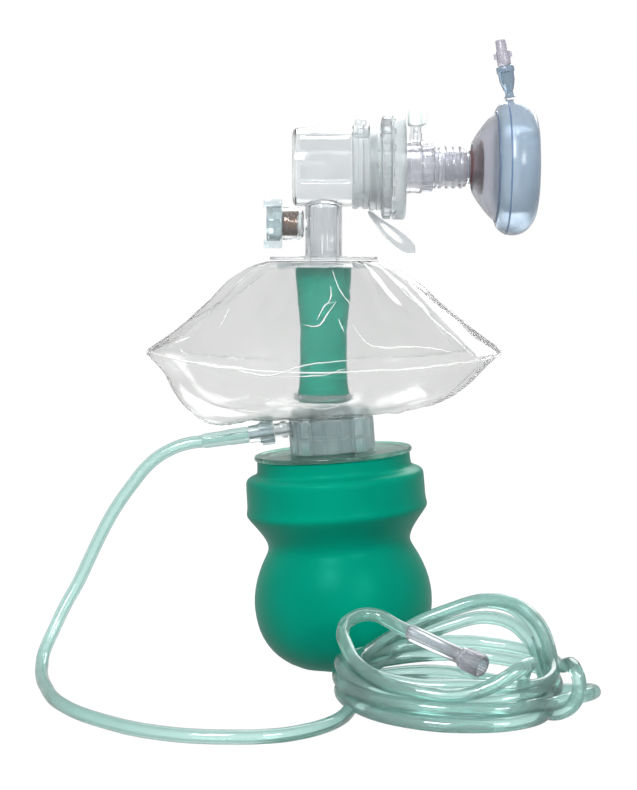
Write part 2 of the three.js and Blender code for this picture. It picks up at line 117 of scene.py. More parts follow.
def add(tree, kind, inputs, **settings):
    """Adds a node with its settings and its inputs."""
    node = tree.nodes.new(kind)
    for key, value in settings.items():
        setattr(node, key, value)
    fill(node, inputs)
    return node


def start(name):
    """A new material, its shader and the places on the piece that its textures follow."""
    material = bpy.data.materials.new(name)
    material.use_nodes = True
    tree = material.node_tree
    place = add(tree, "ShaderNodeTexCoord", {}).outputs["Object"]
    return material, tree.nodes["Principled BSDF"], place


def between(share, low, high):
    """A colour between two hex colours."""
    inputs = {"Factor": share, "A": linear(low), "B": linear(high)}
    return add(share.id_data, "ShaderNodeMix", inputs, data_type="RGBA").outputs["Result"]


def cloud(place, size_mm, detail=3.0):
    inputs = {"Vector": place, "Scale": 1 / (size_mm * MM), "Detail": detail, "Roughness": 0.5}
    return add(place.id_data, "ShaderNodeTexNoise", inputs).outputs["Fac"]


def spread(value, low, high):
    """A value taken from 0..1 to low..high."""
    inputs = {"Value": value, "To Min": low, "To Max": high}
    return add(value.id_data, "ShaderNodeMapRange", inputs).outputs["Result"]


def bump(shader, height, depth_mm, strength, under=None):
    """Puts a bump on the shader, over the normal of an earlier one."""
    inputs = {"Height": height, "Distance": depth_mm * MM, "Strength": strength}
    if under:
        inputs["Normal"] = under
    normal = add(shader.id_data, "ShaderNodeBump", inputs).outputs["Normal"]
    fill(shader, {"Normal": normal})
    return normal


def moulded_pvc_green():
    """Slush-moulded soft PVC, tinted green: satin, a little light inside it, faint orange peel."""
    material, shader, place = start("moulded_pvc_green")
    fill(shader, {
        "Base Color": between(cloud(place, 45, 2), "#00705d", "#008d73"),
        "Roughness": spread(cloud(place, 18), 0.3, 0.42),
        "IOR": 1.3,
        "Specular IOR Level": 0.4,
        "Specular Tint": linear("#48d8c4"),
        "Subsurface Weight": 0.04,
        "Subsurface Radius": (0.2, 1.0, 0.7),
        "Subsurface Scale": 0.006,
    })
    first = bump(shader, cloud(place, 14, 2), 0.5, 0.35)
    bump(shader, cloud(place, 1.6, 2), 0.05, 0.5, first)
    return material


def smooth_pvc_green():
    """The duct's extruded green PVC, smoother than the bag and a little lighter."""
    material, shader, place = start("extruded_pvc_green")
    fill(shader, {
        "Base Color": between(cloud(place, 12, 2), "#007563", "#008c78"),
        "Roughness": spread(cloud(place, 9), 0.4, 0.55),
        "Specular IOR Level": 0.06,
    })
    bump(shader, cloud(place, 9, 2), 0.3, 0.3)
    return material


def clear_plastic(name, tint, light, roughness, peel, transmission, ior):
    """Injection-moulded clear plastic: glossy, greyer where walls lie behind each other, with flow marks."""
    material, shader, place = start(name)
    fill(shader, {
        "Base Color": between(cloud(place, 9, 2), tint, light),
        "Roughness": spread(cloud(place, 5), roughness * 0.7, roughness * 1.4),
        "Transmission Weight": transmission,
        "IOR": ior,
        "Coat Weight": 0.3,
        "Coat Roughness": 0.05,
    })
    bump(shader, cloud(place, 6, 2), 0.12, peel)
    return material


def blown_film():
    """Blown polyethylene film: thin, a little grey and hazy, with a sharp gloss on its creases."""
    material, shader, place = start("blown_film")
    fill(shader, {
        "Base Color": between(cloud(place, 34), "#d4d5d4", "#eeefee"),
        "Transmission Weight": spread(cloud(place, 40, 2), 0.92, 0.99),
        "Roughness": 0.4,
        "IOR": 1.015,
        "Coat Weight": 0.8,
        "Coat Roughness": 0.1,
        "Coat IOR": 1.5,
    })
    first = bump(shader, cloud(place, 24, 2), 3.0, 0.45)
    cells = {"Vector": place, "Scale": 1 / (17 * MM)}
    wrinkle = add(place.id_data, "ShaderNodeTexVoronoi", cells, feature="DISTANCE_TO_EDGE").outputs["Distance"]
    bump(shader, wrinkle, 1.0, 0.18, first)
    return material


def extruded_tubing():
    """Extruded clear PVC tubing with a green tint: darker at its edges, where its wall is seen end on."""
    material, shader, place = start("extruded_tubing")
    edge = add(place.id_data, "ShaderNodeLayerWeight", {"Blend": 0.3}).outputs["Facing"]
    fill(shader, {
        "Base Color": between(edge, "#d3ebe7", "#68a499"),
        "Roughness": spread(cloud(place, 4), 0.08, 0.2),
        "Transmission Weight": 0.9,
        "IOR": 1.16,
        "Coat Weight": 0.8,
        "Coat Roughness": 0.1,
    })
    bump(shader, cloud(place, 8, 2), 0.2, 0.3)
    return material


def tube_bore():
    """The bore seen through the tubing's wall: a thin bright skin with its own edges."""
    material, shader, place = start("extruded_tubing_bore")
    edge = add(place.id_data, "ShaderNodeLayerWeight", {"Blend": 0.3}).outputs["Facing"]
    fill(shader, {
        "Base Color": between(edge, "#e6f6f3", "#8fc4bb"),
        "Roughness": spread(cloud(place, 4), 0.06, 0.15),
        "Transmission Weight": 0.92,
        "IOR": 1.14,
        "Coat Weight": 0.6,
        "Coat Roughness": 0.12,
    })
    return material


def soft_vinyl(name, tint, light, transmission):
    """Dip-moulded soft vinyl: soft gloss, small pulls in its surface."""
    material, shader, place = start(name)
    fill(shader, {
        "Base Color": between(cloud(place, 16, 2), tint, light),
        "Roughness": spread(cloud(place, 7), 0.12, 0.3),
        "Transmission Weight": transmission,
        "IOR": 1.3,
        "Coat Weight": 0.25,
        "Coat Roughness": 0.16,
    })
    bump(shader, cloud(place, 9, 3), 0.5, 0.4)
    return material


def opaque_plastic(name, low, high, roughness):
    """Plain moulded plastic with a fine spark-eroded surface."""
    material, shader, place = start(name)
    fill(shader, {
        "Base Color": between(cloud(place, 5), low, high),
        "Roughness": spread(cloud(place, 3), roughness * 0.8, roughness * 1.2),
        "Subsurface Weight": 0.15,
        "Subsurface Scale": 0.002,
    })
    bump(shader, cloud(place, 0.8, 2), 0.04, 0.5)
    return material


def drawn_copper():
    """Drawn phosphor-bronze spring wire, a little uneven in colour."""
    material, shader, place = start("drawn_copper")
    fill(shader, {
        "Base Color": between(cloud(place, 2), "#4b2f1e", "#8f6547"),
        "Metallic": 1.0,
        "Roughness": spread(cloud(place, 1), 0.18, 0.35),
    })
    bump(shader, cloud(place, 0.5, 2), 0.02, 0.4)
    return material


PVC = moulded_pvc_green()
DUCT = smooth_pvc_green()
CLEAR = clear_plastic("moulded_styrene_clear", "#eef1f2", "#fbfcfd", 0.07, 0.3, 0.95, 1.22)
HUB = clear_plastic("moulded_styrene_hub", "#d6d6de", "#eceef2", 0.16, 0.5, 0.88, 1.46)
FROSTED = clear_plastic("moulded_copolymer_frosted", "#dfe5e7", "#eef2f3", 0.3, 0.3, 0.86, 1.3)
SMOKY = clear_plastic("moulded_copolymer_blue_grey", "#d2e2e6", "#e8f0f2", 0.14, 0.4, 0.85, 1.4)
COLLAR = clear_plastic("moulded_copolymer_collar", "#d6e8e8", "#eaf3f4", 0.2, 0.15, 0.86, 1.28)
LID = clear_plastic("pressed_copolymer_lid", "#6fc0aa", "#a9d9cc", 0.22, 0.3, 0.93, 1.16)
STRAP = clear_plastic("moulded_copolymer_strap", "#c6cacc", "#d9dcde", 0.3, 0.2, 0.7, 1.2)
FAINT = clear_plastic("moulded_copolymer_thin", "#f2f4f5", "#ffffff", 0.05, 0.0, 0.98, 1.08)
NECK_CLEAR = clear_plastic("moulded_styrene_neck", "#dcdfe1", "#ebedef", 0.1, 0.2, 0.94, 1.3)
FILM = blown_film()
TUBING = extruded_tubing()
BORE = tube_bore()
VINYL = soft_vinyl("dipped_vinyl_blue", "#9aaec0", "#b8c8d6", 0.55)
VALVE_BLUE = soft_vinyl("moulded_vinyl_slate", "#7f95a8", "#a3b6c4", 0.5)
VINYL_CLEAR = soft_vinyl("dipped_vinyl_clear", "#d6d7de", "#e9eaef", 0.95)
# White and less clear than the film: a painted highlight for the film's sharp creases and its seam weld
CREASE_HIGHLIGHT = soft_vinyl("creased_film_painted_highlight", "#f2f3f2", "#ffffff", 0.45)
PLUG = soft_vinyl("moulded_copolymer_lilac", "#a5a2ae", "#c2c0ca", 0.45)
BEAD = soft_vinyl("welded_vinyl_bead", "#5a76a0", "#7f96b8", 0.3)
INSERT = opaque_plastic("moulded_acetal_mauve", "#4a3032", "#775558", 0.35)
WHITE = opaque_plastic("moulded_polypropylene_white", "#dfe4e6", "#f2f5f6", 0.35)
MILKY = opaque_plastic("pressed_silicone_milky", "#d2d8d4", "#e8ece8", 0.45)
PALE_GREEN = opaque_plastic("moulded_polypropylene_pale", "#cfdcd6", "#e6eeea", 0.35)
COPPER = drawn_copper()


# ---- modelling
def clean_start():
    if bpy.context.object and bpy.context.object.mode != "OBJECT":
        bpy.ops.object.mode_set(mode="OBJECT")
    bpy.ops.object.select_all(action="DESELECT")


def pick(obj):
    clean_start()
    obj.select_set(True)
    bpy.context.view_layer.objects.active = obj


def modify(obj, kind, **settings):
    """Adds a modifier and applies it."""
    pick(obj)
    modifier = obj.modifiers.new(kind.lower(), kind)
    for key, value in settings.items():
        setattr(modifier, key, value)
    bpy.ops.object.modifier_apply(modifier=modifier.name)
    return obj


def settle(obj, place):
    """Moves a piece modelled in millimetres on its own axis to its place in metres."""
    pick(obj)
    obj.data.transform(Matrix.Scale(MM, 4) @ place)
    obj.data.update()
    return obj


def finish(obj, material, body, slot, *replaced, angle=35):
    pick(obj)
    bpy.ops.object.shade_smooth_by_angle(angle=math.radians(angle))
    obj.data.materials.clear()
    obj.data.materials.append(material)
    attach(obj, body)
    if replaced:
        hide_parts(*replaced)
    return obj


def spun(name, outline, sides=96):
    """A turned shape about Z: a circle is extruded up its outline, ring by ring, and closed."""
    clean_start()
    rings = [(max(r, 1e-4), z) for r, z in outline]
    radius, height = rings[0]
    bpy.ops.mesh.primitive_circle_add(vertices=sides, radius=radius, location=(0, 0, height))
    obj = bpy.context.object
    obj.name = name
    bpy.ops.object.transform_apply(location=True)
    bpy.ops.object.mode_set(mode="EDIT")
    bpy.ops.mesh.select_all(action="SELECT")
    for next_radius, next_height in rings[1:]:
        bpy.ops.mesh.extrude_edges_move(TRANSFORM_OT_translate={"value": (0, 0, next_height - height)})
        grow = next_radius / radius
        bpy.ops.transform.resize(value=(grow, grow, 1), center_override=(0, 0, next_height))
        radius, height = next_radius, next_height
    bpy.ops.mesh.select_all(action="SELECT")
    bpy.ops.mesh.remove_doubles(threshold=1e-3)
    bpy.ops.mesh.normals_make_consistent(inside=False)
    bpy.ops.object.mode_set(mode="OBJECT")
    return obj


def rounded(obj, width, angle=30):
    limit = math.radians(angle)
    return modify(obj, "BEVEL", width=width, segments=2, limit_method="ANGLE", angle_limit=limit)


def tube_ring(name, inner, outer, bottom, top, sides=96, edge=0.3):
    outline = [(inner, bottom), (outer, bottom), (outer, top), (inner, top), (inner, bottom)]
    return rounded(spun(name, outline, sides), edge)


def block(name, size, at, turn=0.0, edge=0.3):
    """A moulded lug: a cube stretched to its size, turned about Z and rounded."""
    clean_start()
    bpy.ops.mesh.primitive_cube_add(size=1, location=at)
    obj = bpy.context.object
    obj.name = name
    obj.scale = size
    bpy.ops.object.transform_apply(location=True, scale=True)
    rounded(obj, edge)
    obj.data.transform(Matrix.Rotation(turn, 4, "Z"))
    return obj


def around(count, name, size, at, edge=0.3, first=0.0):
    """The same lug repeated round the axis, the first one a part of a step onward."""
    return [block(name, size, at, (k + first) * math.pi / (count / 2), edge) for k in range(count)]


def cut(obj, tool):
    modify(obj, "BOOLEAN", operation="DIFFERENCE", object=tool, solver="EXACT")
    bpy.data.objects.remove(tool)


def drill(name, radius, low, high, place, sides=64):
    """A plain cylinder that cuts a hole."""
    clean_start()
    bpy.ops.mesh.primitive_cylinder_add(
        vertices=sides, radius=radius, depth=high - low, location=(0, 0, (low + high) / 2)
    )
    tool = bpy.context.object
    tool.name = name
    bpy.ops.object.transform_apply(location=True)
    tool.data.transform(place)
    return tool


def wire(name, lines, thick, resolution=4, closed=False, caps=False):
    """Swept wires as one mesh: a line is a list of points, each a place and its share of the thickness."""
    curve = bpy.data.curves.new(name, "CURVE")
    curve.dimensions = "3D"
    curve.bevel_depth = thick
    curve.bevel_resolution = resolution
    curve.use_fill_caps = caps
    for line in lines:
        spline = curve.splines.new("POLY")
        spline.points.add(len(line) - 1)
        for point, (place, share) in zip(spline.points, line):
            point.co = (*place, 1)
            point.radius = share
        spline.use_cyclic_u = closed
    obj = bpy.data.objects.new(name, curve)
    bpy.context.collection.objects.link(obj)
    pick(obj)
    bpy.ops.object.convert(target="MESH")
    return obj


def together(obj, others):
    """Joins separate bodies into one piece without a boolean."""
    pick(obj)
    for other in others:
        other.select_set(True)
    bpy.ops.object.join()
    return obj


def move_points(obj, rule):
    """Moves each point of a mesh by a rule, as with a sculpting tool."""
    for vertex in obj.data.vertices:
        vertex.co = rule(vertex.co)
    obj.data.update()
    return obj


def flute(obj, count, depth, radius):
    """Presses shallow flutes into the outside of a cylinder."""

    def rule(co):
        r = math.hypot(co.x, co.y)
        if r < radius - 0.05:
            return co
        wave = abs(math.cos(math.atan2(co.y, co.x) * count / 2)) ** 3
        k = (r - depth * wave) / r
        return Vector((co.x * k, co.y * k, co.z))

    return move_points(obj, rule)


# ---- oxygen tube and coil
TUBE_ROUTE = [
    (-97.2, 0, 119), (-108.6, 0, 111.6), (-120.4, -1, 97.6), (-129.4, -2, 84.6), (-136.2, -4, 72),
    (-142.4, -6, 59), (-148.4, -9, 46.2), (-155.2, -13, 33.9), (-160.8, -18, 21.7), (-165, -26, 11.2),
    (-164.6, -38, 6.2), (-163, -50, 4.4), (-157, -76, 3.7), (-144, -113, 3.6), (-118, -148, 3.6),
    (-88, -170, 3.6), (-58, -176.6, 3.6), (-36, -174, 3.6), (-25, -168, 3.6), (-14, -157, 3.6),
    (-6, -143, 3.6), (-1.4, -127, 3.7),
]
COIL_CENTRE = Vector((49, -108, 0))
# Where each turn lies, seen from above and clockwise: (x, z) at the left, the height before the back,
# (y, z) at the back, the height past it, (x, z) at the right, the height where the turns are tied
# and (y, z) along the front
COIL = [
    ((1, 4), 4, (-64, 4), 4, (98, 5), 5, (-157, 3.7)),
    ((-5, 9), 9, (-70, 10), 4, (100, 9), 10, (-149, 3.9)),
    ((2, 12), 15, (-63, 32), 37, (97, 13), 11, (-153, 10.5)),
    ((-6, 16), 16, (-69, 19), 17, (102, 14), 9, (-141.5, 5)),
    ((0, 19), 21, (-61, 39), 45, (98, 19), 16, (-145, 12)),
    ((-5, 23), 22, (-71, 26), 24, (104, 22), 34, (-149, 17.5)),
    ((3, 24), 25, (-67, 41), 48, (100, 24), 18, (-141, 19)),
]
COIL_END = ((-3, 33.5), (-78, 40))  # (x, z) at the left and (y, z) at the back, past the last turn
COIL_STEPS = 12  # points to a turn
SQUARENESS = 0.84  # below 1 a turn fills out towards its corners
FRONT_SHIFT = 8  # how far the front of each turn is pushed to the right
FLOOR_GAP = 0.3
POKE_TURN = 1  # the turn that pokes out at the right, and how far
POKE_OUT = 21
TIE_TURN = 5  # the turn that is wrapped round the others
TIE_STEP = 7
TIE_RADIUS = 14
TIE_PITCH = 9


def eased(table, at):
    """The value of a table at a place between its entries, with a smooth start and end to each step."""
    low = min(int(at), len(table) - 2)
    part = at - low
    before, after = table[max(low - 1, 0)], table[min(low + 2, len(table) - 1)]
    a, b = table[low], table[low + 1]
    rise_a, rise_b = (b - before) / 2, (after - a) / 2
    return (
        a * (2 * part**3 - 3 * part**2 + 1) + rise_a * (part**3 - 2 * part**2 + part)
        + b * (3 * part**2 - 2 * part**3) + rise_b * (part**3 - part**2)
    )


def coil_path():
    """The loose coil: clockwise turns that widen, narrow and rise between the places of the table."""
    heights, sides, ends = [], [], []
    for left, before, back, past, right, tied, front in COIL:
        heights += [left[1], before, back[1], past, right[1], tied, front[1], front[1] + 1.5]
        sides += [COIL_CENTRE.x - left[0], right[0] - COIL_CENTRE.x]
        ends += [back[0] - COIL_CENTRE.y, COIL_CENTRE.y - front[0]]
    (left_x, left_z), (back_y, back_z) = COIL_END
    heights += [left_z, back_z]
    sides += [COIL_CENTRE.x - left_x] * 2
    ends += [back_y - COIL_CENTRE.y] * 2
    points = []
    for i in range(1, len(COIL) * COIL_STEPS + 1):
        turn = i / COIL_STEPS
        angle = math.pi - turn * 2 * math.pi
        wide = eased(sides, turn * 2)
        deep = eased(ends, max(turn * 2 - 0.5, 0))
        across = math.copysign(abs(math.cos(angle)) ** SQUARENESS, math.cos(angle)) * wide
        across += FRONT_SHIFT * max(-math.sin(angle), 0) ** 2
        at = COIL_CENTRE + Vector((across, deep * math.sin(angle), eased(heights, turn * 8)))
        at.z = max(at.z, TUBE_D / 2 + FLOOR_GAP)
        if int(turn) == POKE_TURN:
            at.x += POKE_OUT * max(math.cos(angle), 0) ** 3
        if i == TIE_TURN * COIL_STEPS + TIE_STEP:
            points += tie(at, angle)
        else:
            points.append(at)
    return points


def tie(top, angle):
    """One wrap round the gathered turns: out over the top, down in front, under and up behind."""
    radial = Vector((math.cos(angle), math.sin(angle), 0))
    onward = Vector((math.sin(angle), -math.cos(angle), 0))
    wrap = []
    for j in range(2, COIL_STEPS - 1):
        turned = j / COIL_STEPS * 2 * math.pi
        lift = Vector((0, 0, math.cos(turned) - 1)) * TIE_RADIUS
        pitch = onward * (TIE_PITCH * j / COIL_STEPS)
        wrap.append(top + radial * math.sin(turned) * TIE_RADIUS + lift + pitch)
    return wrap


def tube_path():
    """The tube's whole run: out of the sleeve, down to the table, round the coil and into the connector."""
    first = [INLET_FOOT + INLET_WAY * s for s in (SLEEVE_END + TUBE_GAP, SLEEVE_END + 8)]
    route = first + [Vector(p) for p in TUBE_ROUTE]
    into = FAR_WAY.normalized()
    last = [Vector((-4, -101, 37)), Vector((0, -88.5, 41)), Vector((10.5, -82, 42.5))]
    last += [FAR_START - into * 7, FAR_START - into * TUBE_GAP]
    return route + coil_path() + last


def tube_curve(points, name, radius, material):
    curve = bpy.data.curves.new(name, "CURVE")
    curve.dimensions = "3D"
    curve.bevel_depth = radius * MM
    curve.bevel_resolution = 5
    curve.resolution_u = 6
    curve.use_fill_caps = True
    spline = curve.splines.new("BEZIER")
    spline.bezier_points.add(len(points) - 1)
    for knot, point in zip(spline.bezier_points, points):
        knot.co = point * MM
        knot.handle_left_type = knot.handle_right_type = "AUTO"
    obj = bpy.data.objects.new(name, curve)
    bpy.context.collection.objects.link(obj)
    obj.data.materials.append(material)
    return obj


tube = tube_curve(tube_path(), "oxygen_tube_run", TUBE_D / 2, TUBING)
bore = tube_curve(tube_path(), "oxygen_tube_bore", BORE_D / 2, BORE)


# ---- bag, lid and manifold
BAG_OUTSIDE = [
    (0, -4.5), (8, -4.4), (16, -3.8), (22, -2.6), (26, -1.0), (30, 1.2), (36.5, 5.4), (42, 10.5),
    (46.4, 18), (48.4, 25), (49.4, 33), (49.2, 40), (47.4, 49), (43.6, 58), (41.2, 62), (39.7, 65),
    (39.2, 67.5), (39.8, 70.3), (41.6, 74), (45.2, 79), (48.6, 83.2), (49.9, 85.2), (50.1, 86.6),
    (49.7, 88.4), (49.3, 90.2), (49.3, 103.2), (48.9, 104.9), (47.4, 106.4), (44.2, 107.4),
    (42.9, 108.3), (42.4, 110), (42.2, 115.8),
]


def make_bag():
    bag = spun("squeeze_bag_skin", BAG_OUTSIDE, 128)
    settle(bag, BAG)
    modify(bag, "SUBSURF", levels=1, render_levels=1)
    move_points(bag, lambda co: Vector((co.x, co.y, max(co.z, 0.0))))
    modify(bag, "SOLIDIFY", thickness=2 * MM, offset=-1)
    finish(bag, PVC, "root", "bag", "squeeze_bag", angle=50)


def make_lid():
    lid = spun("bag_lid_disc", [
        (19, 116.1), (36.6, 116.1), (36.6, 112.6), (39.2, 112.6), (39.2, 116.1), (43.4, 116.1),
        (43.6, 117.2), (43.2, 118.4), (41.6, 118.4), (41.4, 117.9), (25.4, 117.9), (25, 118.4),
        (19, 118.4), (19, 116.1),
    ])
    finish(settle(rounded(lid, 0.2), BAG), LID, "root", "clear", "bag_lid")
    seal = tube_ring("lid_seal_ring", 36.7, 39.1, 111.3, 112.3, edge=0.35)
    finish(settle(seal, BAG), MILKY, "root", "silicone", "lid_seal")


def make_manifold():
    collar = spun("inlet_manifold_body", [
        (21.2, 118.8), (23.4, 118.8), (23.4, 120.4), (23.39, 134.6), (23.4, 136.4), (21.2, 136.4),
        (21.2, 118.8),
    ], 216)
    flute(collar, 18, 0.7, 23.4)
    ribs = around(18, "rib", (1.2, 2.2, 16.6), (22.9, 0, 127.4), 0.3)
    together(collar, ribs)
    finish(settle(collar, BAG), COLLAR, "root", "clear", "inlet_manifold")
    inner = tube_ring("manifold_tube_body", 11, 12.5, 114, 140.4, 64)
    finish(settle(inner, BAG), FROSTED, "root", "clear", "manifold_tube")
    disc = tube_ring("intake_flap", 13.3, 20, 125.2, 126.0, 64, 0.15)
    finish(settle(disc, BAG), MILKY, "intake_flap", "silicone", "intake_valve_disc")
    clamp = tube_ring("reservoir_lower_clamp_ring", 16.5, 21.5, 138.6, 140.7, 96)
    finish(settle(clamp, BAG), FROSTED, "root", "clear", "reservoir_lower_clamp")


def make_inlet():
    nipple = spun("oxygen_inlet_spigot", [
        (1.8, -8.4), (3.6, -8.4), (3.6, 0.8), (4.7, 0.8), (4.7, 4), (3.9, 4.6), (3.9, 7.8), (1.8, 7.8),
        (1.8, -8.4),
    ], 48)
    finish(settle(rounded(nipple, 0.2), INLET), FROSTED, "root", "clear", "oxygen_inlet")
    nut = spun("tube_nut_body", [
        (1.8, 8.1), (6, 8.1), (6.2, 8.8), (6, 9.6), (6, 14.8), (5.6, 15.8), (4.9, 17.2), (4.6, 22.1),
        (1.8, 22.1), (1.8, 8.1),
    ], 48)
    lugs = around(6, "lug", (2.0, 2.2, 6.8), (6.1, 0, 11.9), 0.4)
    together(rounded(nut, 0.2), lugs)
    nut = finish(settle(nut, INLET), SMOKY, "root", "clear", "tube_nut")
    sleeve = spun("tube_sleeve_body", [
        (1.8, 22.4), (4.4, 22.4), (4.5, 23.2), (4.4, 33.6), (4.1, 34.2), (4.2, 35),
        (4.1, SLEEVE_END - 1), (3.8, SLEEVE_END), (1.8, SLEEVE_END), (1.8, 22.4),
    ], 48)
    sleeve = finish(settle(rounded(sleeve, 0.2), INLET), TUBING, "root", "tubing", "tube_sleeve")
    return [nut, sleeve]


def make_far_end():
    sleeve = spun("far_sleeve_body", [
        (1.8, 0), (3.9, 0), (4.1, 0.8), (4.1, FAR_LENGTH - 13.6), (3.9, FAR_LENGTH - 13.1),
        (1.8, FAR_LENGTH - 13.1), (1.8, 0),
    ], 48)
    sleeve = finish(settle(rounded(sleeve, 0.2), FAR), HUB, "root", "tubing", "far_sleeve")
    body = spun("far_connector_body", [
        (2, FAR_LENGTH - 12.6), (5.2, FAR_LENGTH - 12.6), (5.4, FAR_LENGTH - 12),
        (5.4, FAR_LENGTH - 0.3), (5.2, FAR_LENGTH), (3.9, FAR_LENGTH), (3.9, FAR_LENGTH - 10),
        (2, FAR_LENGTH - 10), (2, FAR_LENGTH - 12.6),
    ], 48)
    ribs = around(20, "rib", (0.8, 0.9, 9.6), (5.5, 0, FAR_LENGTH - 5.6), 0.2)
    together(rounded(body, 0.15), ribs)
    body = finish(settle(body, FAR), HUB, "root", "clear", "far_connector")
    return [sleeve, body]


# ---- duct and reservoir
def make_duct():
    duct = spun("gas_duct_body", [
        (13.1, 143.9), (14.3, 143.9), (14.3, 149.8), (13.9, 151.2), (13.3, 152.4), (12.9, 170),
        (13, 186), (13.3, 190), (16.2, 221.5), (15, 221.5), (12.1, 190), (11.8, 186), (11.7, 170),
        (12.1, 152.4), (13.1, 149.8), (13.1, 143.9),
    ])
    modify(duct, "SUBSURF", levels=1, render_levels=1)

    def gather(co):
        angle = math.atan2(co.y, co.x)
        middle = max(0.0, 1 - abs(co.z - 184) / 30)
        pleats = 1 + math.sin(angle * 7 + 0.05 * co.z)
        pull = 1 - 0.035 * middle * pleats + 0.02 * math.sin(co.z * 0.5) * middle
        return Vector((co.x * pull, co.y * pull, co.z))

    move_points(duct, gather)
    finish(settle(duct, NECK), DUCT, "root", "bag", "gas_duct")
    for name, node, inner, outer, low, high in (
        ("duct_lower_band", "duct_lower_clamp", 14.6, 16.4, 145.5, 149),
        ("duct_upper_band", "duct_upper_clamp", 17, 26, 219.4, 221.7),
    ):
        finish(settle(tube_ring(name, inner, outer, low, high), NECK), FROSTED, "root", "clear", node)
    flange = spun("reservoir_flange_disc", [
        (9.1, 223.3), (29.2, 223.3), (29.5, 223.7), (29.5, 224.5), (29.2, 224.9), (13.4, 224.9),
        (12.8, 225.15), (9.1, 225.15), (9.1, 223.3),
    ])
    finish(settle(rounded(flange, 0.15), NECK), CLEAR, "root", "clear", "reservoir_flange")


# Film levels: height, neckness (1 a circle, 0 the seam's full corners), half width, half depth
FILM_LEVELS = [
    (137.5, 1, 17, 17), (137.3, 1, 24.5, 24.5), (139.4, 0.95, 36, 35), (146, 0.6, 64, 56),
    (155, 0.35, 79, 66), (166, 0.12, 88, 72), (173.6, 0, 96, 75), (182, 0.18, 84, 69),
    (195, 0.45, 70.5, 60), (209, 0.75, 55, 49), (219, 0.95, 40.5, 39), (222.4, 1, 31, 31),
    (222.6, 1, 27, 27), (222.6, 1, 17.5, 17.5),
]


def squared(angle, power, width, depth):
    """A point round a ring: an ellipse at power 1, drawn out to four corners below that."""
    c, s = math.cos(angle), math.sin(angle)
    return math.copysign(abs(c) ** power, c) * width, math.copysign(abs(s) ** power, s) * depth


def shape_film(obj, sides):
    """Scales the film's rings from circles at the necks to the pillow's four corners at the seam."""
    points = obj.data.vertices
    for k, (height, neckness, width, depth) in enumerate(FILM_LEVELS):
        low = min(max((141 - height) / 3, 0), 1)
        middle = NECK_X + (LOWER_NECK_X - NECK_X) * low
        for vertex in points[k * sides : (k + 1) * sides]:
            angle = math.atan2(vertex.co.y, vertex.co.x)
            x, y = squared(angle, 0.5 + 0.5 * neckness, width, depth)
            vertex.co = (middle + x, y, height + x * math.tan(LEAN) * low)
    obj.data.update()


# Creases in plan, as (x, y, x, y, upper side or not, height): corner ridges and the puckers over the duct
CREASES = [
    (26, -14, 88, -66, True, 2.6), (-26, -14, -88, -60, True, 1.8), (26, 14, 86, 64, True, 2.2),
    (-26, 14, -88, 62, True, 2.2), (8, -34, -8, -52, True, 1.5), (8, -34, 16, -56, True, 1.3),
    (-8, -52, -26, -53, True, 1.2), (18, -24, 30, -58, True, 1.2), (-60, -44, -22, -30, True, 1.1),
    (40, -30, 66, -62, True, 1.2), (-88, -30, -54, -34, True, 1.3), (56, 8, 90, 20, True, 1.4),
    (-40, -48, 10, -58, False, 1.6), (10, -58, 60, -50, False, 1.5), (-70, -50, -34, -46, False, 1.2),
    (-16, -40, 30, -44, False, 1.2), (60, -50, 88, -64, False, 1.6), (-60, 40, 20, 52, False, 1.5),
    (-84, 8, -40, 4, False, 1.4), (84, 4, 46, -8, False, 1.2),
]


PLEATS = 15
PLEAT_DEPTH = 1.1
CRUMPLE = 3.2
FINE_CRUMPLE = 1.0
SEAM_WAVE = 0.45
SEAM_SAG = 8.5
LOBE = 9.0  # the slack that hangs at the lower left


def crease(x, y, upper):
    """The height that the creases add at a place: each is a thin ridge that dies away at its ends."""
    total = 0.0
    for x0, y0, x1, y1, side, height in CREASES:
        if side != upper:
            continue
        dx, dy = x1 - x0, y1 - y0
        length = math.hypot(dx, dy)
        along = ((x - x0) * dx + (y - y0) * dy) / length**2
        if -0.1 < along < 1.1:
            bow = 1.6 * math.sin(along * 5 + x0)
            across = ((x - x0) * dy - (y - y0) * dx) / length + bow
            ends = max(0.0, 1 - abs(2 * along - 1) ** 3)
            ridge = math.exp(-abs(across) / 1.5) + 0.35 * math.exp(-((across - 4) / 5) ** 2)
            total += height * ends * ridge
    return total


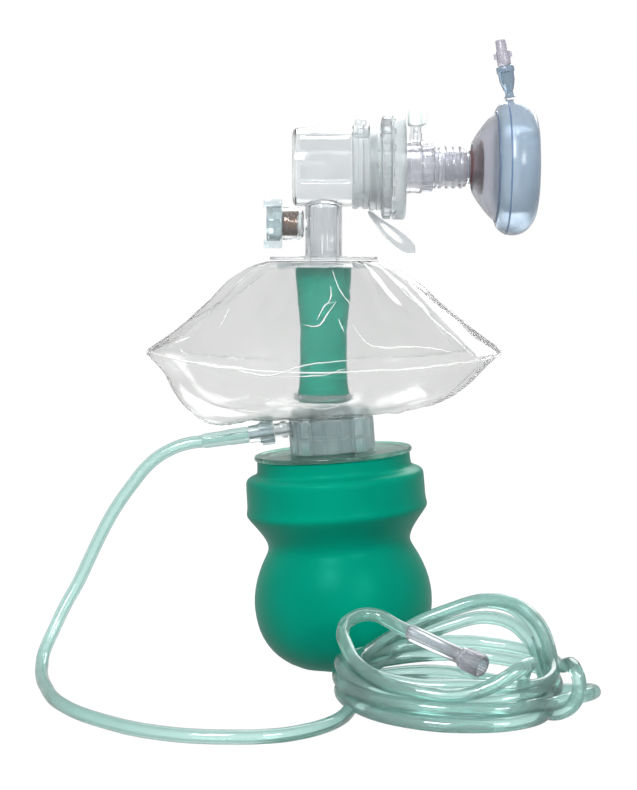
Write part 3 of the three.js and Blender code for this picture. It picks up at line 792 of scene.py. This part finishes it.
def fold(co):
    """Film folds: pleats that fan out from both necks, creases, loose crumples and a sagging seam."""
    x, y, rise = co.x - NECK_X, co.y, co.z - SEAM_Z
    away = math.hypot(x, y)
    angle = math.atan2(y, x)
    upper = rise > 0
    seam = min(abs(rise) / 18, 1.0)
    near_neck = max(0.0, 1 - (away - 28) / 52)
    wander = Vector((math.cos(angle) * 1.3, math.sin(angle) * 1.3, 4.0 if upper else 9.0))
    phase = 7 * noise.noise(wander)
    pleat = math.sin(angle * PLEATS + phase) * (0.8 + noise.noise(Vector((x, y, 5)) * 0.02))
    held = min(max((away - 30) / 12, 0), 1)
    drop = PLEAT_DEPTH * pleat * near_neck**0.8 * held
    drop += CRUMPLE * noise.noise(Vector((x * 0.02, y * 0.026, co.z * 0.016))) * held
    drop += FINE_CRUMPLE * noise.noise(Vector((x * 0.06, y * 0.05, co.z * 0.05 + 7))) * held * seam
    drop += crease(x, y, upper) * held * min(abs(rise) / 5, 1.0)
    edge = 1 - min(abs(rise) / 6, 1.0)
    wave = SEAM_WAVE * math.sin(angle * 19 + 3 * phase) * edge
    front = min(abs(y) / 60, 1.0) * max(0.0, 1 - (x / 88) ** 2)
    sag = SEAM_SAG * front * math.exp(-((rise / 26) ** 2))
    outward = Vector((x, y, 0)).normalized() if away > 1 else Vector((0, 0, 0))
    lean = Vector((outward.x * 0.55, outward.y * 0.55, 0.83 if upper else -0.83))
    lobe = LOBE * math.exp(-(((x + 56) / 26) ** 2)) * math.exp(-(((co.z - 154) / 12) ** 2))
    lobe *= min(abs(y) / 20, 1.0)
    slack = Vector((0.25 * lobe, 0, sag + lobe))
    return co + lean * drop - slack + Vector((0, 0, wave * 0.5)) + outward * wave * 0.2


# Sharp creases on the film's front, drawn white as a painted highlight along each: points along each, then its
# thickness
SHARP_CREASES = [
    ([(23, -31, 212), (32, -40, 204), (43, -49, 193), (54, -54, 183), (64, -62, 174)], 0.5),
    ([(-24, -60, 190), (-19.6, -61, 189), (-15.4, -61, 190), (-11.3, -58, 196), (-7, -54, 201.4)], 0.45),
    ([(-7, -54, 201.4), (-12, -54.5, 200.4), (-15, -57, 196.3), (-17, -59, 192)], 0.35),
    ([(-10, -47, 210), (-9.7, -52, 204.5), (-12, -55, 199.4)], 0.35),
    ([(-9, -41, 218), (-5, -50, 207.6), (1.2, -56, 199)], 0.3),
    ([(-6, -60, 193), (-3, -64, 186)], 0.3),
    ([(-82, -69, 172), (-65, -73, 169), (-48, -75, 165), (-39, -75, 164.7), (-22, -72.5, 169.7),
      (-5, -72, 171.7), (1.5, -72, 172)], 0.45),
    ([(-39, -75, 163.7), (-22, -75, 164), (-12, -75, 165), (0, -74, 168.7)], 0.4),
    ([(-91, -53, 180), (-83, -52, 183)], 0.6),
    ([(-88, -60, 176.7), (-84, -65, 174.4)], 0.5),
    ([(-67.5, -54, 188), (-62.6, -46, 198)], 0.25),
    ([(1.6, -63, 190), (12, -68, 179), (38, -65.5, 178.5), (55, -63, 175)], 0.35),
    ([(-51, -71, 155), (-22, -64, 147), (-12, -63, 146), (-1.5, -69, 150), (12, -73, 158)], 0.35),
    ([(-61, -25, 209), (-42, -17, 221.5)], 0.25),
]


CREASE_STEPS = 12
WELD_STEPS = 360


def make_creases(film):
    """Sharp creases: thin ridges laid on the film, thickest in the middle and gone at their ends, their white
    a painted highlight.
    """
    lines = []
    for knots, thick in SHARP_CREASES:
        count = (len(knots) - 1) * CREASE_STEPS
        line = []
        for i in range(count + 1):
            place = Vector([eased(axis, i / CREASE_STEPS) for axis in zip(*knots)]) * MM
            near = film.closest_point_on_mesh(place)[1]
            jitter = 0.5 * noise.noise(Vector((i * 0.4, thick * 9, len(knots))))
            swell = 0.15 + 0.85 * math.sin(math.pi * i / count)
            line.append((near + Vector((0, 0, jitter * MM)), 1.3 * thick * swell * (0.8 + jitter)))
        lines.append(line)
    finish(wire("film_sharp_creases_highlight", lines, MM, 1), CREASE_HIGHLIGHT, "root", "film", angle=60)


def make_film():
    """The film pillow: a tube of rings scaled level by level and pulled into folds, with a welded seam drawn
    white as a painted highlight.
    """
    sides = 96
    rings = [(1 + 0.01 * k, level[0] + 0.02 * k) for k, level in enumerate(FILM_LEVELS)]
    film = spun("reservoir_film_bag", rings, sides)
    shape_film(film, sides)
    modify(film, "SUBSURF", levels=3, render_levels=3, subdivision_type="SIMPLE")
    modify(film, "SMOOTH", factor=0.5, iterations=14)
    move_points(film, fold)
    settle(film, Matrix.Identity(4))
    finish(film, FILM, "root", "film", "reservoir_film", angle=180)
    make_creases(film)
    # The weld bead along the seam: a real seam, its white a painted highlight
    seam = []
    for i in range(WELD_STEPS):
        x, y = squared(i * 2 * math.pi / WELD_STEPS, 0.5, 95.2, 74.2)
        seam.append((fold(Vector((NECK_X + x, y, SEAM_Z))) * MM, 1))
    weld = wire("reservoir_seam_weld_highlight", [seam], 0.45 * MM, closed=True)
    finish(weld, CREASE_HIGHLIGHT, "root", "film", angle=60)


# ---- neck, housing and rings
def make_neck():
    neck = spun("neck_tube_body", [
        (8.9, -48.5), (10.2, -48.5), (10.4, -48), (10.2, -47), (10.2, -16), (8.9, -16), (8.9, -48.5),
    ], 144)
    flute(neck, 16, 0.55, NECK_RADIUS)
    cut(neck, drill("saddle", HOUSING_RADIUS + 0.25, -40, 40, SIDEWAYS, 128))
    relief_axis = Matrix.Translation((0, 0, RELIEF_Z - HEAD_Z)) @ SIDEWAYS
    cut(neck, drill("relief_hole", 3.4, -20, 0, relief_axis))
    finish(settle(neck, UPRIGHT), NECK_CLEAR, "head", "clear", "neck_tube")
    fillet = spun("neck_saddle_fillet", [
        (10.25, -21.6), (11.6, -20.2), (12.6, -18.6), (10.25, -17), (10.25, -21.6),
    ])
    cut(fillet, drill("saddle", HOUSING_RADIUS + 0.02, -40, 40, SIDEWAYS, 128))
    finish(settle(fillet, UPRIGHT), CLEAR, "head", "clear")
    bush = tube_ring("swivel_bush_body", 7, 8.6, 214, 233, 64)
    finish(settle(bush, NECK), FAINT, "root", "clear", "swivel_bush")


def make_housing():
    shell = spun("valve_housing_shell", [
        (0, -17), (17.6, -17), (19.6, -16.6), (20.8, -15.6), (21.2, -14), (21.25, -6), (21.4, 15.4),
        (19.8, 15.4), (19.6, -14.6), (18.4, -15.4), (0, -15.4),
    ], 128)
    cut(shell, drill("neck_hole", 8.6, 10, 30, SIDEWAYS))
    finish(settle(shell, HEAD), CLEAR, "head", "clear", "valve_housing")
    inner = spun("inner_tube_body", [
        (11.9, -12.4), (13.1, -12.4), (13.1, 13.6), (13.5, 14.7), (11.9, 14.7), (11.9, -12.4),
    ])
    inner.data.transform(Matrix.Translation((-4.1, 0, 0)))
    finish(settle(rounded(inner, 0.3), HEAD), FAINT, "head", "clear", "inner_tube")


def make_rings():
    strap = spun("strap_ring_body", [
        (17.5, 15.7), (21.6, 15.7), (22.4, 15.9), (22.8, 16.4), (22.8, 18.2), (22.4, 18.6),
        (21.8, 18.9), (21.7, 20), (21.8, 21.1), (22.4, 21.4), (22.8, 21.8), (22.8, 23.7), (22.4, 24.2),
        (21.6, 24.4), (17.5, 24.4), (17.5, 15.7),
    ], 128)
    lugs = [block("lug", (6.4, 7.4, 6.4), (-23.1, 0, 20.2), 0, 1.9)]
    lugs += around(4, "lug", (1.4, 3.2, 7.4), (22.7, 0, 20.1), 0.4, 0.5)
    together(strap, lugs)
    finish(settle(strap, HEAD), FROSTED, "head", "clear", "strap_ring")
    retaining = spun("retaining_ring_body", [
        (17.5, 24.8), (22.8, 24.8), (23.3, 25.1), (23.4, 25.6), (23.4, 27.2), (22.9, 27.6),
        (22.9, 28.5), (23.4, 28.9), (23.4, 30.5), (22.9, 31.1), (17.5, 31.1), (17.5, 24.8),
    ], 128)
    finish(settle(retaining, HEAD), FROSTED, "head", "clear", "retaining_ring")
    exhalation = spun("exhalation_ring_body", [
        (17.5, 31.4), (24.6, 31.4), (26.8, 31.8), (27.8, 32.8), (28, 34.2), (27.8, 35.6), (26.8, 36.6),
        (24.6, 37), (17.5, 37), (17.5, 31.4),
    ], 144)
    grips = around(28, "grip", (1.0, 2.2, 4.2), (27.7, 0, 34.2), 0.35)
    together(exhalation, grips)
    finish(settle(exhalation, HEAD), FROSTED, "head", "clear", "exhalation_ring")
    cover = spun("exhalation_cover_body", [
        (9.4, 42.8), (25.8, 42.8), (26.3, 42.3), (26.4, 37.5), (28, 37.5), (28.5, 38), (28.6, 42.9),
        (28.2, 43.9), (27.4, 44.3), (19.6, 44.3), (19.2, 43.7), (15.4, 43.7), (15, 44.3), (9.4, 44.3),
        (9.4, 42.8),
    ], 144)
    slots = around(18, "slot", (7, 3.0, 3.0), (28.6, 0, 37.4), 0.3, 0.5)
    slots += around(16, "slot", (5.4, 2.2, 5), (22.6, 0, 43.5), 0.5)
    cut(cover, together(slots[0], slots[1:]))
    finish(settle(cover, HEAD), FROSTED, "head", "clear", "exhalation_cover")


def make_valve_inside():
    seat = tube_ring("valve_seat_body", 15.4, 17.1, 26, 29, 96)
    spokes = around(4, "spoke", (9.4, 1.6, 2), (11.7, 0, 27.6))
    together(seat, [tube_ring("hub", 6, 8, 26, 29, 64), *spokes])
    finish(settle(seat, HEAD), FROSTED, "head", "clear", "valve_seat")
    flap = spun("duckbill_flap", [
        (0, 35.9), (1.2, 35.3), (4, 32.6), (7.2, 30.6), (14.7, 29.6), (14.7, 30.5), (7.8, 31.8),
        (4.6, 33.8), (1.7, 36.5), (0, 36.8),
    ])
    finish(settle(flap, HEAD), MILKY, "outlet_flap", "silicone", "duckbill_valve")


def make_outlet():
    hub = spun("outlet_hub_body", [
        (8.4, 44.6), (13.8, 44.6), (14.3, 45.2), (14.3, 47), (14, 47.4), (14, 50.6), (14.3, 51),
        (14.3, 52.8), (13.8, 53.5), (12.5, 53.6), (12.4, 54.2), (12.4, 59.2), (12, 59.7), (8.4, 59.7),
        (8.4, 44.6),
    ], 128)
    ribs = around(16, "rib", (1.2, 1.3, 5.4), (12.6, 0, 56.6), 0.3)
    together(hub, ribs)
    finish(settle(hub, HEAD), HUB, "head", "clear", "outlet_hub")
    across = Matrix.Translation((PRESSURE_X, 0, HEAD_Z)) @ Matrix.Translation((NECK_X, 0, 0))
    spigot = spun("pressure_spigot_body", [
        (1.1, 14.4), (3.9, 14.4), (3.4, 15.4), (3.3, 18.4), (2.9, 19), (2.9, 21.9), (2.1, 22),
        (2.1, 25.3), (1.1, 25.3), (1.1, 14.4),
    ], 48)
    finish(settle(rounded(spigot, 0.12), across), CLEAR, "head", "clear", "pressure_spigot")
    cap = spun("pressure_cap_body", [
        (2.5, 22.3), (4, 22.3), (4.3, 22.8), (4.4, 23.6), (4.4, 28.8), (4.1, 29.9), (3.2, 31),
        (1.8, 31.6), (0, 31.7), (0, 27.5), (2.5, 27.5), (2.5, 22.3),
    ], 64)
    together(cap, [block("tab", (3.4, 5.6, 7.4), (4.2, 0, 26.9), 0, 0.6)])
    finish(settle(cap, across), PALE_GREEN, "gauge_cap", "white", "pressure_cap")


def make_port():
    outline = [(7.8, 60), (11.2, 60), (11.7, 60.3), (11.7, 60.9), (10.6, 61.3)]
    for k in range(4):
        at = 61.8 + 3.9 * k
        rib = ((10.6, 0), (11.5, 0.5), (11.7, 1.0), (11.7, 1.6), (11.5, 2.1), (10.6, 2.6))
        outline += [(radius, at + step) for radius, step in rib]
    outline += [(10.6, 76.1), (10.9, 76.6), (10.7, 77.2), (10.2, 77.5), (7.8, 77.5), (7.8, 60)]
    port = spun("patient_port_body", outline, 128)
    finish(settle(port, HEAD), HUB, "port", "clear", "patient_port")


def make_relief():
    housing = spun("relief_housing_body", [
        (3.4, 10.7), (5.6, 10.7), (7.4, 11.2), (8.9, 13.4), (8.9, 22), (8.6, 22.5), (7.7, 22.5),
        (7.7, 13.8), (6.6, 12.2), (3.4, 11.9), (3.4, 10.7),
    ])
    seat = spun("relief_seat_cone", [(0, 10.9), (3.2, 10.9), (3.2, 11.8), (0, 11.8)], 48)
    together(housing, [seat])
    finish(settle(housing, RELIEF), CLEAR, "head", "clear", "relief_housing")
    plunger = spun("relief_poppet_body", [
        (0, 12.3), (5, 12.3), (6.8, 12.8), (6.8, 13.6), (4.6, 13.9), (3.4, 15.4), (2.2, 16.4), (2, 21),
        (0, 21.2),
    ], 64)
    finish(settle(plunger, RELIEF), WHITE, "relief_poppet", "white", "relief_plunger")
    turns, steps = 6.5, 24
    count = int(turns * steps)
    helix = []
    for i in range(count + 1):
        angle = i * 2 * math.pi / steps
        helix.append(((6.3 * math.cos(angle), 6.3 * math.sin(angle), 14.3 + 7.6 * i / count), 1))
    spring = wire("relief_spring_wire", [helix], 0.6, caps=True)
    finish(settle(spring, RELIEF), COPPER, "relief_poppet", "spring", "relief_spring", angle=60)
    knob = spun("relief_knob_body", [
        (0, 27.4), (7.2, 27.4), (7.4, 27), (7.4, 22.8), (9.4, 22.8), (9.9, 23.3), (9.9, 30.4),
        (9.4, 31.1), (7.4, 31.1), (7, 30.4), (0, 30.4),
    ])
    lugs = around(2, "lug", (5.4, 9, 9.8), (10.7, 0, 27.75), 0.7)
    lugs += around(2, "wing", (4, 4.6, 7.4), (10.6, 0, 26.6), 0.6, 0.5)
    together(knob, lugs)
    finish(settle(knob, RELIEF), SMOKY, "relief_knob", "clear", "relief_cap")


def make_strap():
    """A soft strap: a teardrop plate with a long hole, twisted so that the loop's face shows."""
    clean_start()
    bpy.ops.mesh.primitive_circle_add(vertices=96, radius=1, fill_type="NOTHING")
    strap = bpy.context.object
    strap.name = "finger_strap_loop"
    bpy.ops.object.mode_set(mode="EDIT")
    bpy.ops.mesh.select_all(action="SELECT")
    bpy.ops.mesh.extrude_edges_move(TRANSFORM_OT_translate={"value": (0, 0, 0)})
    bpy.ops.transform.resize(value=(0.5, 0.5, 1), center_override=(0, 0, 0))
    bpy.ops.object.mode_set(mode="OBJECT")

    def outline(co):
        radius = math.hypot(co.x, co.y)
        angle = math.atan2(co.y, co.x)
        if radius > 0.75:
            u = 17.2 + 17.0 * math.cos(angle)
            share = min(max(u / 34.2, 0), 1)
            half = 1.9 + 3.2 * math.sin(math.pi * share**1.9) ** 0.8
            v = half * (1 if math.sin(angle) >= 0 else -1) * min(abs(math.sin(angle)) * 1.9, 1)
        else:
            u = 17.4 + 8.6 * math.cos(angle)
            v = 1.9 * math.sin(angle)
        return Vector((u, v, 0))

    move_points(strap, outline)
    modify(strap, "SUBSURF", levels=2, render_levels=2, subdivision_type="SIMPLE")

    def twist(co):
        turn = math.radians(34) + math.radians(24) * min(max((co.x - 2) / 14, 0), 1)
        sag = 0.9 * math.sin(co.x / 34 * math.pi)
        return Vector((co.x, co.y * math.cos(turn), co.y * math.sin(turn) - sag))

    move_points(strap, twist)
    modify(strap, "SOLIDIFY", thickness=0.9, offset=0)
    rounded(strap, 0.2, 50)
    slope = Matrix.Rotation(math.radians(41.5), 4, "Y")
    hang = UPRIGHT @ Matrix.Translation((24.4, 0, -23.9)) @ slope
    finish(settle(strap, hang), STRAP, "head", "clear", "finger_strap", angle=50)


# ---- face mask
CUSHION_OUTLINE = [
    (29.0, 94.1), (31, 93.9), (32.8, 94.6), (34.4, 96), (35.8, 98), (36.7, 100.4), (37, 103.2),
    (36.8, 106), (36, 108.6), (34.6, 110.9), (32.4, 113), (29.6, 114.8), (26.6, 115.8), (23.6, 115.9),
    (20.6, 114.9), (18.4, 112.8), (17.7, 109.6), (18, 106.2), (19.6, 102.8), (22, 99.8), (25, 96.8),
    (27.2, 95), (29.0, 94.1),
]


def make_mask():
    neck = spun("mask_neck_body", [
        (6, 66), (7.4, 66), (7.45, 77.7), (8.8, 77.8), (9.1, 78.1), (9.1, 79.3), (8.8, 79.6), (6, 79.6),
        (6, 66),
    ])
    finish(settle(neck, HEAD), VINYL_CLEAR, "mask", "clear", "mask_neck")
    insert = spun("mask_insert_body", [
        (6.4, 79.9), (9, 79.9), (10.4, 81), (12.6, 83.2), (15.3, 85.7), (14.8, 86.8), (13.6, 86.9),
        (11, 84.8), (8, 82.4), (6.4, 81.8), (6.4, 79.9),
    ])
    finish(settle(insert, HEAD), INSERT, "mask", "insert", "mask_insert")
    dome = spun("mask_dome_shell", [
        (12.6, 80.8), (13.8, 81), (16.5, 82.5), (19.2, 84.3), (21.5, 86), (23.7, 87.7), (25.7, 89.4),
        (27.4, 91.1), (29.2, 93.2), (28.2, 94), (26.2, 91.8), (24.6, 90.3), (22.6, 88.8), (20.4, 87.2),
        (18.1, 85.5), (15.6, 83.8), (12.6, 82.6), (12.6, 80.8),
    ], 128)
    finish(settle(dome, HEAD), VINYL_CLEAR, "mask", "clear", "mask_dome", angle=60)
    cushion = spun("mask_cushion_ring", CUSHION_OUTLINE, 128)

    def pillow(co):
        angle = math.atan2(co.y, co.x)
        swell = 1 + 0.006 * math.sin(angle * 5 + 1) + 0.004 * math.sin(angle * 11)
        crease = 1 - 0.004 * max(0, math.cos(angle * 14)) * (co.z < 98)
        return Vector((co.x * swell * crease, co.y * swell * crease, co.z))

    move_points(cushion, pillow)
    modify(cushion, "SUBSURF", levels=1, render_levels=1)
    settle(cushion, HEAD)
    finish(cushion, VINYL, "mask", "cushion", "mask_cushion", angle=180)
    for name, radius, height, thick in (
        ("cushion_weld_front", 36.35, 99.4, 0.42), ("cushion_weld_dome", 30.0, 93.9, 0.4),
    ):
        clean_start()
        bpy.ops.mesh.primitive_torus_add(
            major_radius=radius, minor_radius=thick, major_segments=144, minor_segments=12,
            location=(0, 0, height),
        )
        bead = bpy.context.object
        bead.name = name
        bpy.ops.object.transform_apply(location=True)
        finish(settle(bead, HEAD), BEAD, "mask", "cushion", angle=180)


def make_inflation_valve():
    body = spun("inflation_valve_body", [
        (1, 0.1), (3.4, 0.1), (2.7, 0.9), (2.3, 1.8), (2.3, 3.6), (2.9, 4.6), (3.6, 7), (4.3, 9.4),
        (4.4, 13.6), (5, 14), (5, 16.6), (4.7, 17.2), (3.5, 17.3), (2.3, 17.4), (2.3, 8), (1, 8),
        (1, 0.1),
    ], 10)
    finish(settle(rounded(body, 0.15), INFLATION), VALVE_BLUE, "mask", "cushion", "inflation_valve")
    plug = spun("inflation_plug_body", [
        (0, 9.4), (1.9, 9.4), (1.9, 17.7), (3.3, 17.7), (3.7, 18.2), (3.7, 24.8), (3.5, 25.4), (3, 26),
        (2.9, 31), (2.6, 31.6), (1.7, 31.6), (1.6, 29.6), (0, 29.6),
    ], 64)
    lugs = around(2, "lug", (2.2, 2.2, 3.4), (3.8, 0, 23.2), 0.4)
    together(rounded(plug, 0.12), lugs)
    finish(settle(plug, INFLATION), PLUG, "inflation_cap", "white", "inflation_plug")


for maker in (make_bag, make_lid, make_manifold, make_duct, make_film, make_neck, make_housing, make_rings):
    maker()
near_pieces = make_inlet()
far_pieces = make_far_end()
for maker in (
    make_valve_inside, make_outlet, make_port, make_relief, make_strap, make_mask, make_inflation_valve,
):
    maker()

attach(tube, "root")
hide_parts("oxygen_tube", "tube_coil")
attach(bore, "root")


# ---- studio
def light_by_ray(tree, seen):
    """How bright the white surroundings are: full when seen, less through clear parts, least for the rest."""
    path = add(tree, "ShaderNodeLightPath", {})
    value = 0.4
    for ray, strength in (("Is Glossy Ray", 0.5), ("Is Transmission Ray", 0.9), ("Is Camera Ray", seen)):
        inputs = {"Factor": path.outputs[ray], "A": value, "B": strength}
        value = add(tree, "ShaderNodeMix", inputs, data_type="FLOAT").outputs["Result"]
    return value


def make_studio():
    clean_start()
    bpy.ops.mesh.primitive_plane_add(size=12, location=(0, 0, -0.0002))
    floor = bpy.context.object
    floor.name = "floor"
    material, shader, place = start("white_floor")
    fill(shader, {
        "Base Color": between(cloud(place, 400), "#3c3c3c", "#404040"),
        "Roughness": 0.9,
        "Emission Color": (1, 1, 1, 1),
        "Emission Strength": light_by_ray(shader.id_data, 0.97),
    })
    floor.data.materials.append(material)
    world = bpy.data.worlds.new("studio")
    bpy.context.scene.world = world
    world.use_nodes = True
    tree = world.node_tree
    tree.nodes.clear()
    white = add(tree, "ShaderNodeBackground", {"Color": (1, 1, 1, 1), "Strength": light_by_ray(tree, 1.0)})
    add(tree, "ShaderNodeOutputWorld", {"Surface": white.outputs[0]})
    aim = Vector((0, 0, 0.15))
    for name, place, size, power in (
        ("key", (-0.45, -1.15, 0.95), 0.5, 19),
        ("fill", (0.55, -1.1, 0.6), 0.4, 7),
        ("rim", (0.3, 0.9, 0.9), 0.8, 9),
    ):
        light = bpy.data.lights.new(name, "AREA")
        light.energy = power
        light.size = size
        lamp = bpy.data.objects.new(name, light)
        lamp.location = place
        lamp.rotation_euler = (aim - Vector(place)).to_track_quat("-Z", "Y").to_euler()
        bpy.context.collection.objects.link(lamp)
    bpy.context.scene.view_settings.view_transform = "Standard"


make_studio()
clean_start()
